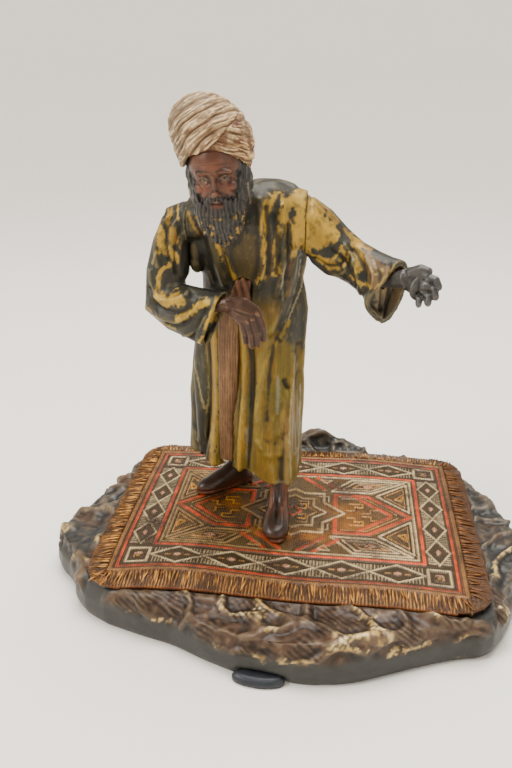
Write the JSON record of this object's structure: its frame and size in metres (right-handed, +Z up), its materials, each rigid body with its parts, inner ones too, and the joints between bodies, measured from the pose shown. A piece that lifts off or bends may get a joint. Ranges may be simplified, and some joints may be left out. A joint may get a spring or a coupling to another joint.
{
  "type": "cold-painted bronze statuette",
  "caption": "Small painted bronze figure in a turban and long coat, one arm held out in welcome, standing on a patterned carpet over rocky ground.",
  "frame": {"origin": "centre of the ground casting's outline on the table it stands on", "axes": "+Z up, -Y the side the figure faces, +X the figure's left, where the stretched arm points"},
  "size_m": [0.1856, 0.1454, 0.1801],
  "materials": {
    "bronze": "dark brown-black patina, satin",
    "carpet_paint": "cold paint in brown, red, cream and gold, satin",
    "rivet_brass": "bare, satin",
    "coat_paint": "worn yellow cold paint over dark bronze, satin",
    "tunic_paint": "brown cold paint, satin",
    "sash_paint": "red-brown cold paint, satin",
    "skin_paint": "brown cold paint, satin",
    "turban_paint": "cream cold paint rubbed to brown, matt",
    "boot_paint": "dark brown cold paint, gloss",
    "steel": "turned"
  },
  "bodies": {
    "root": {"ground_casting": "bronze", "rim_lug": "bronze", "carpet_casting": "carpet_paint", "carpet_rivet_front_left": "rivet_brass", "carpet_rivet_front_right": "rivet_brass", "carpet_rivet_rear_left": "rivet_brass", "carpet_rivet_rear_right": "rivet_brass", "coat_casting": "coat_paint", "left_sleeve": "coat_paint", "right_sleeve": "coat_paint", "tunic_panel": "tunic_paint", "waist_sash": "sash_paint", "left_hand": "skin_paint", "right_hand": "skin_paint", "head_casting": "skin_paint", "turban_casting": "turban_paint", "left_leg": "boot_paint", "right_leg": "boot_paint", "left_leg_stud": "steel", "right_leg_stud": "steel", "left_leg_washer": "rivet_brass", "right_leg_washer": "rivet_brass", "left_leg_nut": "rivet_brass", "right_leg_nut": "rivet_brass", "left_hip_stud": "steel", "right_hip_stud": "steel", "left_shoulder_stud": "steel", "right_shoulder_stud": "steel", "neck_pin": "rivet_brass", "turban_pin": "rivet_brass"}
  },
  "joints": []
}
